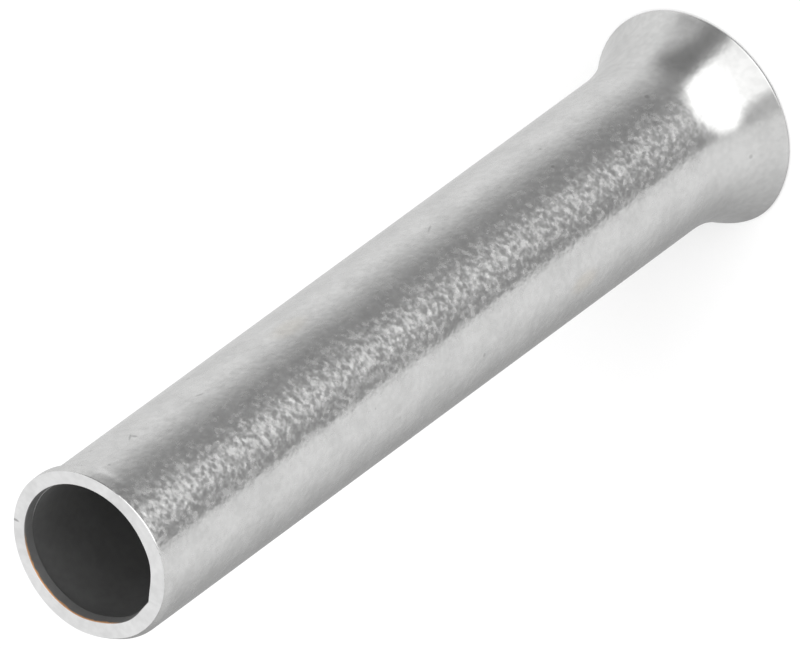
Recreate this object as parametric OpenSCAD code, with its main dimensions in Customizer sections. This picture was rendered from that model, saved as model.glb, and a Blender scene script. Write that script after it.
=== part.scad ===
// Bare wire end ferrule: one drawn tube of tin-plated copper, sheared off at one end and
// flared like a trumpet at the other. It stands on the rim of its flared mouth. +Z runs
// along the bore, and the origin is the centre of the rim.

/* [Tube] */
// Length from the rim of the mouth to the cut face
length = 18; // [9:0.5:32]
// Diameter of the bore that takes the bared wire
bore_d = 2.8; // [2:0.1:6]
// Thickness of the drawn wall
wall = 0.2; // [0.16:0.01:0.4]

/* [Flared mouth] */
// How far the rim stands out past the tube, on each side
flare_out = 0.46; // [0.25:0.01:1]
// Outside radius of the bend that opens the mouth
flare_bend_r = 3.1; // [2:0.1:5]
// Rounding on both edges of the rim
rim_round = 0.05; // [0.02:0.005:0.07]

/* [Beaded lip at the cut end] */
// How far the shear turned the lip out past the tube, measured from the lip's own centre
lip_out = 0.065; // [0.03:0.005:0.15]
// How far the shear pushed the lip off the tube's axis, towards +X
lip_shift = 0.055; // [0:0.005:0.1]
// How far below the cut face the lip is fullest
lip_depth = 0.15; // [0.12:0.01:0.3]
// Radius of the lip's barrel shape, along the tube
lip_barrel_r = 0.25; // [0.2:0.05:0.6]
// Slope with which the lip grows out of the tube, in degrees
lip_slope = 40; // [20:1:50]
// Rounding on the outer edge of the cut face
lip_round = 0.06; // [0.02:0.005:0.08]
// Direction of the small bump on the lip, in degrees
bump_angle = 225; // [0:1:359]
// How far the bump stands out past the lip
bump_out = 0.03; // [0.01:0.002:0.06]
// Radius of the bump's round top
bump_r = 0.12; // [0.08:0.01:0.12]

/* [Burr inside the cut end] */
// How far the shear pushed the edge into the bore, measured from the hole's own centre
burr_in = 0.064; // [0.03:0.002:0.1]
// How far the hole in the cut face lies off the tube's axis, towards +X
burr_shift = 0.08; // [0:0.005:0.1]
// Thickness of the burr below the cut face
burr_height = 0.2; // [0.1:0.02:0.3]
// Direction of the pinched corner of the hole, in degrees
corner_angle = 198; // [0:1:359]
// How far the corner reaches out past the round hole
corner_out = 0.04; // [0.01:0.002:0.06]

/* [Hidden] */

tin = [0.7, 0.7, 0.69];

bore_r = bore_d / 2;
tube_r = bore_r + wall;
lip_r = tube_r + lip_out;
hole_r = bore_r - burr_in;

lip_z = length - lip_depth;
burr_z = length - burr_height;

// Where two rounded faces touch, one reaches this far into the other, so that no sliver
// is left between them
bite = 0.0002;

// The lip's cone touches the barrel at this point
swell_x = lip_r - lip_barrel_r * (1 - cos(lip_slope));
swell_z = lip_z - lip_barrel_r * sin(lip_slope);
// It starts inside the wall all round, so that the lip grows out of the tube
lip_foot_r = tube_r - lip_shift - wall / 4;
lip_foot_z = swell_z - (swell_x - lip_foot_r) / tan(lip_slope);

// Centre of the rounding on the lip's outer edge, which touches the barrel from inside,
// and the height at which the two meet
lip_round_z = length - lip_round;
lip_round_x = lip_r - lip_barrel_r
              + sqrt(pow(lip_barrel_r - lip_round, 2) - pow(lip_round_z - lip_z, 2));
lip_meet_z = lip_z + (lip_round_z - lip_z) * lip_barrel_r / (lip_barrel_r - lip_round);

// The burr's hole starts inside the bore all round, and opens towards the cut face
burr_foot_r = bore_r - burr_shift - wall / 20;
// The corner is an arc of this share of the hole's radius
corner_share = 0.4;

// Centre of the bend. Both faces of the flared wall are arcs about it. Its height puts the
// rim flare_out past the tube, with the rim's lowest line on the plane Z = 0.
bend_x = tube_r + flare_bend_r;
bend_z = rim_round + sqrt(pow(flare_bend_r + rim_round, 2)
                          - pow(flare_bend_r + rim_round - flare_out, 2));

// How far cutting shapes reach past what they cut
past = 1;

$fn = 192;

// Half section from the axis to one face of the wall: straight at face_r, then opened by a
// bend of radius bend_r
module inside_of(face_r, bend_r) {
  square([face_r, length]);
  difference() {
    square([bend_x, bend_z]);
    translate([bend_x, bend_z]) circle(bend_r);
  }
}

// What the rim loses where an edge is rounded. reach is how far the rounding's centre lies
// from the bend's centre, and side says which way it meets the wall's face: 1 for up and
// outwards, -1 for down and inwards.
module rim_spandrel(reach, side) {
  rise = bend_z - rim_round;
  run = sqrt(pow(reach, 2) - pow(rise, 2));
  away = side * past / reach;
  translate([bend_x - run, rim_round]) difference() {
    polygon([[0, 0], [0, -past], [side * past, -past], [away * run, away * rise]]);
    circle(rim_round);
  }
}

// Half section of the drawn wall, with its flare and its rounded rim
module wall_section() {
  difference() {
    inside_of(tube_r, flare_bend_r);
    inside_of(bore_r, flare_bend_r + wall);
    rim_spandrel(flare_bend_r + rim_round - bite, 1);
    rim_spandrel(flare_bend_r + wall - rim_round + bite, -1);
    translate([0, lip_z]) square([bend_x, lip_depth + past]);
  }
}

// Half section of the lip, filled to its axis: a cone that grows out of the tube, then a
// barrel shape up to the cut face, with a rounded outer edge
module lip_section() {
  polygon([
    [0, lip_foot_z],
    [lip_foot_r, lip_foot_z],
    [swell_x - bite, swell_z],
    [0, swell_z]
  ]);
  intersection() {
    translate([lip_r - lip_barrel_r, lip_z]) circle(lip_barrel_r);
    translate([0, swell_z - lip_round])
      square([lip_r + past, lip_meet_z - swell_z + lip_round]);
  }
  translate([0, lip_z]) square([lip_round_x, lip_depth]);
  translate([lip_round_x + bite, lip_round_z]) circle(lip_round);
}

// Half section of the hole through the burr
module burr_hole_section() {
  polygon([
    [0, burr_z],
    [burr_foot_r, burr_z],
    [hole_r, length],
    [hole_r, length + past],
    [0, length + past]
  ]);
}

// The beaded lip and its bump, solid to the axis
module lip() {
  translate([lip_shift, 0, 0]) {
    rotate_extrude() lip_section();
    rotate([0, 0, bump_angle]) translate([lip_r + bump_out - bump_r, 0, lip_z]) sphere(bump_r);
  }
}

// The pinched corner of the hole: a post that reaches out past the hole's edge
module corner() {
  corner_r = corner_share * hole_r;
  rotate([0, 0, corner_angle])
    translate([hole_r + corner_out - corner_r, 0, burr_z])
      cylinder(h = burr_height + past, r = corner_r);
}

// What is hollow inside the lip: the bore up to the burr, then the burr's hole, off the
// axis, with its pinched corner
module throat() {
  cylinder(h = burr_z, r = bore_r);
  translate([burr_shift, 0, 0]) {
    rotate_extrude() burr_hole_section();
    corner();
  }
}

// The whole ferrule
module sleeve() {
  color(tin) {
    rotate_extrude() wall_section();
    difference() {
      lip();
      throat();
    }
  }
}

sleeve();
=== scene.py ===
import math

import bpy
from mathutils import Matrix, Vector


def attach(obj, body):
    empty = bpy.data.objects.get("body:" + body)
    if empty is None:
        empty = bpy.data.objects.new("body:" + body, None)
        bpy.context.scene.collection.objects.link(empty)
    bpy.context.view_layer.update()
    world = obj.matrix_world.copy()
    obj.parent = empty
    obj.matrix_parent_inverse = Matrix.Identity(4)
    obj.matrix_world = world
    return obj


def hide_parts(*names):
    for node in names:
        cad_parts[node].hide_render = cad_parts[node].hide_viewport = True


MM = 0.001

# The ferrule, in millimetres, as it is in the CAD source
LENGTH = 18.0
TUBE_R = 1.6
BORE_R = 1.4
WALL = TUBE_R - BORE_R
BEND_R = 3.1
RIM_ROUND = 0.05
BEND_X = 4.7
BEND_Z = 1.68902
HOLE_R = 1.336
BURR_HEIGHT = 0.2

SIDES = 256
EVEN_TUBE_TOP = 17.3
EVEN_BORE_TOP = 17.7
SHARP_EDGE = 35

# The sheared end's outside: depth below the cut face, factor towards +X, factor towards -X
SHEAR = [
    (0.36, 1.012, 1.0),
    (0.30, 1.036, 1.0),
    (0.25, 1.054, 1.0),
    (0.20, 1.060, 1.0),
    (0.15, 1.061, 0.998),
    (0.10, 1.061, 0.990),
    (0.06, 1.060, 0.978),
    (0.03, 1.059, 0.966),
    (0.010, 1.058, 0.956),
    (0.0, 1.058, 0.950),
]

# Scratches, ticks and a nick: x, y, z, length and width in millimetres, slant in degrees, depth of shade
SCRATCHES = [
    (1.29, -0.95, 16.46, 0.16, 0.03, 30, 0.30),
    (1.26, -0.99, 16.40, 0.05, 0.09, 0, 0.30),
    (1.17, -1.09, 14.68, 0.13, 0.03, -20, 0.25),
    (1.14, -1.12, 7.94, 0.16, 0.03, 25, 0.25),
    (1.31, 0.95, 17.99, 0.04, 0.035, 0, 0.45),
]

# Faint brownish stains: x, y, z, length and width in millimetres, slant in degrees, strength
STAINS = [
    (-1.20, -1.06, 5.60, 0.50, 0.25, 0, 0.30),
    (1.20, -1.06, 12.0, 0.60, 0.30, 0, 0.22),
]

TIN = (0.68, 0.68, 0.675, 1)
# painted shade: the bore's colour is darkened to stand for the shade deep inside it
BORE_PAINTED_SHADE = (0.34, 0.34, 0.34, 1)
CUT_METAL = (0.76, 0.76, 0.76, 1)
STAIN = (0.66, 0.60, 0.50, 1)
BARE_COPPER = (0.85, 0.52, 0.30, 1)

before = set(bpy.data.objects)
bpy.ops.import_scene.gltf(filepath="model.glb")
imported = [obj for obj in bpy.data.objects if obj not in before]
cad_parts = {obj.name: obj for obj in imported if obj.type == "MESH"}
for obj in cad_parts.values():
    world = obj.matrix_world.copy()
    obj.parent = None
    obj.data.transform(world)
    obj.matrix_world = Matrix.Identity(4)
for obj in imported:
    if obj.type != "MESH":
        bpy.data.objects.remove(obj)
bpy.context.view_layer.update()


# The camera


def look_from(elevation, roll, distance, lens, face_right, face_up):
    """A camera that sees the cut face at the given place, in millimetres from the middle"""
    e = math.radians(elevation)
    back = Vector((0, -math.cos(e), math.sin(e)))
    level_up = Vector((0, math.sin(e), math.cos(e)))
    level_right = Vector((1, 0, 0))
    c = math.cos(math.radians(roll))
    s = math.sin(math.radians(roll))
    right = -c * level_up - s * level_right
    up = -s * level_up + c * level_right
    cut_face = Vector((0, 0, LENGTH * MM))
    aim = cut_face - (face_right * right + face_up * up) * MM
    data = bpy.data.cameras.new("camera")
    data.lens = lens
    data.sensor_width = 36
    data.clip_start = 0.01
    data.clip_end = 5
    camera = bpy.data.objects.new("camera", data)
    bpy.context.collection.objects.link(camera)
    camera.matrix_world = Matrix((right, up, back)).transposed().to_4x4()
    camera.location = aim + back * distance
    bpy.context.scene.camera = camera


# The sleeve's section, as rings


def arc(centre_x, centre_z, radius, start, end, steps):
    points = []
    for i in range(steps + 1):
        a = math.radians(start + (end - start) * i / steps)
        points.append((centre_x + radius * math.cos(a), centre_z + radius * math.sin(a)))
    return points


def rim_angle(reach):
    """Where a circle about the bend's centre comes down to the rim's rounding, in degrees"""
    return math.degrees(math.asin((BEND_Z - RIM_ROUND) / reach))


def outside_rings():
    """Radius and height of each ring, from the rim's flat land up to the cut face"""
    far = rim_angle(BEND_R + RIM_ROUND)
    round_x = BEND_X - (BEND_R + RIM_ROUND) * math.cos(math.radians(far))
    rings = arc(round_x, RIM_ROUND, RIM_ROUND, -90, far, 8)
    rings += arc(BEND_X, BEND_Z, BEND_R, 180 + far, 180, 24)[1:]
    steps = 30
    for step in range(1, steps):
        rings.append((TUBE_R, BEND_Z + (EVEN_TUBE_TOP - BEND_Z) * step / steps))
    for depth in (0.60, 0.45, 0.36, 0.30, 0.25, 0.20, 0.15, 0.10, 0.06, 0.03, 0.010):
        rings.append((TUBE_R, LENGTH - depth))
    rings.append((1.597, LENGTH))
    return rings


def inside_rings():
    """Radius and height of each ring, from the cut face down over the burr and the bore to the rim"""
    rings = [(1.345, LENGTH), (1.340, LENGTH - 0.004), (HOLE_R, LENGTH - 0.012)]
    rings += [(1.331, LENGTH - 0.05), (1.322, LENGTH - 0.12), (1.312, LENGTH - BURR_HEIGHT)]
    rings += [(BORE_R, LENGTH - BURR_HEIGHT), (BORE_R, LENGTH - 0.3)]
    steps = 16
    for step in range(1, steps):
        rings.append((BORE_R, EVEN_BORE_TOP - (EVEN_BORE_TOP - BEND_Z) * step / steps))
    near = rim_angle(BEND_R + WALL - RIM_ROUND)
    rings += arc(BEND_X, BEND_Z, BEND_R + WALL, 180, 180 + near, 24)
    round_x = BEND_X - (BEND_R + WALL - RIM_ROUND) * math.cos(math.radians(near))
    rings += arc(round_x, RIM_ROUND, RIM_ROUND, 180 + near, 270, 6)[1:]
    return rings


# Shaping the mesh


def choose(obj, wanted):
    """Select the vertices whose place, in millimetres, passes the test"""
    bpy.ops.mesh.select_all(action="DESELECT")
    bpy.ops.object.mode_set(mode="OBJECT")
    for v in obj.data.vertices:
        v.select = wanted(v.co.x / MM, v.co.y / MM, v.co.z / MM)
    bpy.ops.object.mode_set(mode="EDIT")


def stretch(obj, depth, out, back):
    """Widen a ring of the cut end's outside towards +X, and draw it in towards -X"""
    z = LENGTH - depth
    for side, factor in ((1, out), (-1, back)):

        def on_this_half(x, y, h):
            on_ring = abs(h - z) < 0.001 and math.hypot(x, y) > 1.58
            return on_ring and side * x > 0.00001

        choose(obj, on_this_half)
        bpy.ops.transform.resize(value=(factor, 1, 1), center_override=(0, 0, z * MM))


def nudge(obj, angle, radius, z, out, reach, falloff="SMOOTH"):
    """Press the wall outwards at one place, and what lies within reach of it by less"""
    a = math.radians(angle)
    spot = Vector((radius * math.cos(a), radius * math.sin(a), z)) * MM
    near = min(obj.data.vertices, key=lambda v: (v.co - spot).length)
    place = near.co / MM
    choose(obj, lambda x, y, h: (Vector((x, y, h)) - place).length < 0.0005)
    bpy.ops.transform.translate(
        value=(out * math.cos(a) * MM, out * math.sin(a) * MM, 0),
        use_proportional_edit=True,
        proportional_edit_falloff=falloff,
        proportional_size=reach * MM,
    )
    bpy.ops.object.mode_set(mode="OBJECT")
    bpy.ops.object.mode_set(mode="EDIT")


def shear_the_end(sleeve):
    """The cutter pushed the edge out on one side and rolled it in on the other"""
    for depth, out, back in SHEAR:
        stretch(sleeve, depth, out, back)
    # the hole in the cut face lies to one side, and its edge is uneven
    choose(sleeve, lambda x, y, h: h > LENGTH - 0.21 and math.hypot(x, y) < 1.38)
    bpy.ops.transform.translate(value=(0.1 * MM, 0.015 * MM, 0))
    nudge(sleeve, 84, 1.35, LENGTH, 0.035, 0.40)
    nudge(sleeve, 144, 1.25, LENGTH, -0.030, 0.70)
    nudge(sleeve, 203, 1.25, LENGTH, 0.045, 0.30, "SHARP")
    nudge(sleeve, 240, 1.29, LENGTH, 0.015, 0.45)


def make_sleeve():
    rings = outside_rings() + inside_rings()
    radius, z = rings[0]
    bpy.ops.object.select_all(action="DESELECT")
    bpy.ops.mesh.primitive_circle_add(vertices=SIDES, radius=radius * MM, location=(0, 0, 0))
    sleeve = bpy.context.object
    sleeve.name = "drawn_sleeve"
    sleeve.data.name = "drawn_sleeve"
    bpy.ops.object.mode_set(mode="EDIT")
    for next_radius, next_z in rings[1:] + rings[:1]:
        rise = (0, 0, (next_z - z) * MM)
        bpy.ops.mesh.extrude_region_move(TRANSFORM_OT_translate={"value": rise})
        if next_radius != radius:
            k = next_radius / radius
            bpy.ops.transform.resize(value=(k, k, 1), center_override=(0, 0, next_z * MM))
        radius, z = next_radius, next_z
    bpy.ops.mesh.select_all(action="SELECT")
    bpy.ops.mesh.remove_doubles(threshold=0.0000005)
    bpy.ops.mesh.normals_make_consistent(inside=False)
    shear_the_end(sleeve)
    # the flare was pressed a little wider on one side
    nudge(sleeve, 178, 2.06, 0.05, 0.045, 1.2)
    bpy.ops.object.mode_set(mode="OBJECT")
    bpy.ops.object.shade_smooth_by_angle(angle=math.radians(SHARP_EDGE))
    return sleeve


# Nodes, as short calls


def calc(tree, operation, a, b=None):
    """One Math node; a and b are sockets or numbers"""
    node = tree.nodes.new("ShaderNodeMath")
    node.operation = operation
    for socket, value in zip(node.inputs, (a, b)):
        if value is None:
            continue
        if isinstance(value, (int, float)):
            socket.default_value = value
        else:
            tree.links.new(value, socket)
    return node.outputs["Value"]


def product(tree, *values):
    result = values[0]
    for value in values[1:]:
        result = calc(tree, "MULTIPLY", result, value)
    return result


def reverse(tree, value):
    return calc(tree, "SUBTRACT", 1.0, value)


def distance_2d(tree, a, b):
    squares = calc(tree, "ADD", calc(tree, "MULTIPLY", a, a), calc(tree, "MULTIPLY", b, b))
    return calc(tree, "SQRT", squares)


def fade(tree, value, start, end, low=0.0, high=1.0):
    """Goes smoothly from low, where value is at start, to high, where it is at end"""
    node = tree.nodes.new("ShaderNodeMapRange")
    node.interpolation_type = "SMOOTHSTEP"
    tree.links.new(value, node.inputs["Value"])
    if start > end:
        start, end, low, high = end, start, high, low
    node.inputs["From Min"].default_value = start
    node.inputs["From Max"].default_value = end
    node.inputs["To Min"].default_value = low
    node.inputs["To Max"].default_value = high
    return node.outputs["Result"]


def mix_colour(tree, amount, colour, other):
    """From colour, where amount is 0, to other, where it is 1"""
    node = tree.nodes.new("ShaderNodeMix")
    node.data_type = "RGBA"
    tree.links.new(amount, node.inputs["Factor"])
    # the sockets A and B of a colour mix, and its result
    colour_a, colour_b, colour_result = 6, 7, 2
    for index, value in ((colour_a, colour), (colour_b, other)):
        if isinstance(value, tuple):
            node.inputs[index].default_value = value
        else:
            tree.links.new(value, node.inputs[index])
    return node.outputs[colour_result]


def noise(tree, vector, scale, detail):
    node = tree.nodes.new("ShaderNodeTexNoise")
    node.inputs["Scale"].default_value = scale
    node.inputs["Detail"].default_value = detail
    tree.links.new(vector, node.inputs["Vector"])
    return node.outputs["Fac"]


def mark(tree, place, x, y, z, long, wide, slant=0.0):
    """1 at one spot of the surface, an ellipse along the tube, in millimetres, turned by slant"""
    local = tree.nodes.new("ShaderNodeMapping")
    local.vector_type = "TEXTURE"
    local.inputs["Location"].default_value = (x * MM, y * MM, z * MM)
    around = math.atan2(y, x)
    local.inputs["Rotation"].default_value = (math.radians(slant), 0, around)
    local.inputs["Scale"].default_value = (wide * MM * 3, wide * MM, long * MM)
    tree.links.new(place, local.inputs["Vector"])
    away = tree.nodes.new("ShaderNodeVectorMath")
    away.operation = "LENGTH"
    tree.links.new(local.outputs["Vector"], away.inputs[0])
    return fade(tree, away.outputs["Value"], 1.0, 0.35)


# The tin plating


def fine_grain(tree, squeezed, strength, shader):
    """Fine pebbling, left by the barrel in which the parts are plated"""
    bump = tree.nodes.new("ShaderNodeBump")
    bump.inputs["Distance"].default_value = 0.000005
    tree.links.new(strength, bump.inputs["Strength"])
    tree.links.new(noise(tree, squeezed, 8000, 1.0), bump.inputs["Height"])
    tree.links.new(bump.outputs["Normal"], shader.inputs["Normal"])


def scattered_pits(tree, place):
    """1 in a few small round pits"""
    cells = tree.nodes.new("ShaderNodeTexVoronoi")
    cells.inputs["Scale"].default_value = 2600
    tree.links.new(place, cells.inputs["Vector"])
    chance = tree.nodes.new("ShaderNodeSeparateColor")
    tree.links.new(cells.outputs["Color"], chance.inputs["Color"])
    size = fade(tree, chance.outputs["Red"], 0.75, 1.0, 0.0, 0.14)
    return fade(tree, calc(tree, "SUBTRACT", cells.outputs["Distance"], size), 0.03, -0.05)


def wear(tree, place, outside):
    """How much of its brightness the plating keeps under clouding, pits and scratches"""
    clouds = fade(tree, noise(tree, place, 1500, 3), 0.35, 0.62, -0.035, 0.035)
    specks = fade(tree, noise(tree, place, 7000, 1.5), 0.35, 0.65, -0.03, 0.03)
    pits = product(tree, scattered_pits(tree, place), outside, 0.22)
    shade = reverse(tree, calc(tree, "SUBTRACT", pits, calc(tree, "ADD", clouds, specks)))
    for *spot, depth in SCRATCHES:
        scratch = calc(tree, "MULTIPLY", mark(tree, place, *spot), depth)
        shade = calc(tree, "MULTIPLY", shade, reverse(tree, scratch))
    return shade


def torn_edge(tree, place, x, y, reach, below):
    """1 on the ragged line where the cutter tore the plating from the copper"""
    turn = calc(tree, "DEGREES", calc(tree, "ARCTAN2", y, x))
    ragged = calc(tree, "MULTIPLY", noise(tree, place, 9000, 2), 0.00006)
    down_to = fade(tree, calc(tree, "SUBTRACT", below, ragged), 0.000010, 0.000002)
    under_face = fade(tree, below, 0.000001, 0.000003)
    in_hole = fade(tree, reach, 0.00150, 0.00146)
    one_side = product(tree, fade(tree, turn, 40, 60), fade(tree, turn, 165, 150))
    return product(tree, down_to, under_face, in_hole, one_side)


def tin_material():
    material = bpy.data.materials.new("satin_tin")
    material.use_nodes = True
    tree = material.node_tree
    shader = tree.nodes["Principled BSDF"]
    shader.inputs["Metallic"].default_value = 1
    place = tree.nodes.new("ShaderNodeTexCoord").outputs["Object"]
    squeeze = tree.nodes.new("ShaderNodeMapping")
    squeeze.inputs["Scale"].default_value = (1, 1, 0.8)
    tree.links.new(place, squeeze.inputs["Vector"])
    squeezed = squeeze.outputs["Vector"]

    # the cut face, the bore and the outside
    parts = tree.nodes.new("ShaderNodeSeparateXYZ")
    tree.links.new(place, parts.inputs["Vector"])
    x, y, z = parts.outputs
    reach = distance_2d(tree, x, y)
    below = calc(tree, "SUBTRACT", LENGTH * MM, z)
    on_face = fade(tree, below, 0.0000012, 0.0000006)
    inside = product(tree, fade(tree, reach, 0.00150, 0.00146), reverse(tree, on_face))
    outside = reverse(tree, calc(tree, "MAXIMUM", inside, on_face))

    # the grain is weaker on the flare
    strength = calc(tree, "MULTIPLY", outside, fade(tree, z, 0.0010, 0.0026, 0.3, 1.0))
    fine_grain(tree, squeezed, calc(tree, "MAXIMUM", strength, 0.12), shader)

    # the bore gets a darker colour, which is painted shade inside the hole
    colour = mix_colour(tree, inside, TIN, BORE_PAINTED_SHADE)
    colour = mix_colour(tree, on_face, colour, CUT_METAL)
    for *spot, amount in STAINS:
        stain = calc(tree, "MULTIPLY", mark(tree, place, *spot), amount)
        colour = mix_colour(tree, stain, colour, STAIN)
    colour = mix_colour(tree, torn_edge(tree, place, x, y, reach, below), colour, BARE_COPPER)
    worn = tree.nodes.new("ShaderNodeVectorMath")
    worn.operation = "SCALE"
    tree.links.new(colour, worn.inputs[0])
    tree.links.new(wear(tree, place, outside), worn.inputs["Scale"])
    tree.links.new(worn.outputs["Vector"], shader.inputs["Base Color"])

    # duller in the bore and on the cut face, and in patches along the tube
    dull = calc(tree, "ADD", calc(tree, "MULTIPLY", inside, 0.5), calc(tree, "MULTIPLY", on_face, 0.4))
    gloss = fade(tree, noise(tree, squeezed, 9500, 1.0), 0.30, 0.75, 0.0, 0.15)
    patchy = product(tree, gloss, fade(tree, z, 0.0008, 0.0026), outside)
    flare = calc(tree, "MULTIPLY", fade(tree, z, 0.0026, 0.0010), 0.08)
    rough = calc(tree, "ADD", calc(tree, "ADD", dull, patchy), flare)
    tree.links.new(calc(tree, "ADD", rough, 0.15), shader.inputs["Roughness"])
    return material


# The surround, by the turn and height of each direction, in degrees


def side_walls(tree, turn):
    """A little dimmer behind, most of all on the right"""
    right_wall = fade(tree, turn, 62, 150, 0.93, 0.42)
    left_wall = fade(tree, turn, -100, -150, 0.90, 0.76)
    return calc(tree, "MINIMUM", right_wall, left_wall)


def dark_side(tree, turn, height):
    """How much darker the wall in front is"""
    low = product(tree, fade(tree, turn, -105, -43), fade(tree, height, -25, -36))
    high = product(tree, fade(tree, turn, -92, -74), fade(tree, height, -36, -25))
    left_part = calc(tree, "ADD", low, high)
    right_part = fade(tree, turn, 44, 37)
    faint = calc(tree, "MULTIPLY", fade(tree, height, -14, 4), fade(tree, turn, 10, 20))
    faint = reverse(tree, calc(tree, "MULTIPLY", faint, 0.45))
    dark = product(tree, left_part, right_part, faint, fade(tree, height, 40, 20))
    return calc(tree, "MULTIPLY", dark, fade(tree, height, -36, -22, 0.58, 0.68))


def small_light(tree, turn, height, at_turn, at_height, size):
    aside = calc(tree, "SUBTRACT", turn, at_turn)
    above = calc(tree, "SUBTRACT", height, at_height)
    return fade(tree, distance_2d(tree, aside, above), size, 2, 0.0, 0.36)


def large_lamp(tree, turn, height):
    """A soft lamp with a round lower edge, narrower above"""
    sag = calc(tree, "MULTIPLY", calc(tree, "MULTIPLY", turn, turn), 0.009)
    over_edge = calc(tree, "SUBTRACT", height, sag)
    right_edge = fade(tree, height, -15, -4, 38, 22)
    right_side = fade(tree, calc(tree, "SUBTRACT", turn, right_edge), 2, -5)
    lamp = product(tree, fade(tree, turn, -37, -31), right_side, fade(tree, over_edge, -42, -37))
    return product(tree, lamp, fade(tree, height, -12, 2, 1.8, 1.1))


def studio():
    """White all round, with a dark side in front that holds a large soft lamp"""
    world = bpy.data.worlds.new("studio")
    world.use_nodes = True
    bpy.context.scene.world = world
    tree = world.node_tree
    way = tree.nodes.new("ShaderNodeTexCoord")
    parts = tree.nodes.new("ShaderNodeSeparateXYZ")
    tree.links.new(way.outputs["Generated"], parts.inputs["Vector"])
    x = calc(tree, "MULTIPLY", parts.outputs["X"], -1.0)
    y = calc(tree, "MULTIPLY", parts.outputs["Y"], -1.0)
    turn = calc(tree, "DEGREES", calc(tree, "ARCTAN2", x, y))
    height = calc(tree, "DEGREES", calc(tree, "ARCSINE", parts.outputs["Z"]))

    wall = calc(tree, "SUBTRACT", side_walls(tree, turn), dark_side(tree, turn, height))
    wall = calc(tree, "ADD", wall, small_light(tree, turn, height, -76, -10, 15))
    wall = calc(tree, "ADD", wall, small_light(tree, turn, height, -68, 3, 17))
    wall = calc(tree, "ADD", wall, large_lamp(tree, turn, height))
    sky = fade(tree, height, 20, 34)
    level = calc(tree, "ADD", calc(tree, "MULTIPLY", wall, reverse(tree, sky)), sky)
    background = tree.nodes["Background"]
    tree.links.new(level, background.inputs["Strength"])
    background.inputs["Color"].default_value = (1, 1, 1, 1)


def overhead_lamp():
    above = Vector((0.03, -0.09, 0.22))
    data = bpy.data.lights.new("overhead_lamp", "AREA")
    data.shape = "DISK"
    data.size = 0.12
    data.energy = 0.12
    lamp = bpy.data.objects.new("overhead_lamp", data)
    bpy.context.collection.objects.link(lamp)
    lamp.location = above
    lamp.rotation_euler = above.to_track_quat("Z", "Y").to_euler()


def plain_floor():
    bpy.ops.object.select_all(action="DESELECT")
    bpy.ops.mesh.primitive_plane_add(size=4, location=(0, 0, 0))
    floor = bpy.context.object
    floor.name = "floor"
    material = bpy.data.materials.new("pale_floor")
    material.use_nodes = True
    shader = material.node_tree.nodes["Principled BSDF"]
    shader.inputs["Base Color"].default_value = (1, 1, 1, 1)
    shader.inputs["Roughness"].default_value = 1
    shader.inputs["Specular IOR Level"].default_value = 0
    floor.data.materials.append(material)
    # the metal reflects the studio, not the floor
    floor.visible_glossy = False
    floor.visible_shadow = False


sleeve = make_sleeve()
sleeve.data.materials.append(tin_material())
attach(sleeve, "root")
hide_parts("sleeve")
plain_floor()
studio()
overhead_lamp()
bpy.context.scene.view_settings.view_transform = "Standard"
look_from(43.71, 36.294, 0.4574, 1200, -5.299, -4.021)
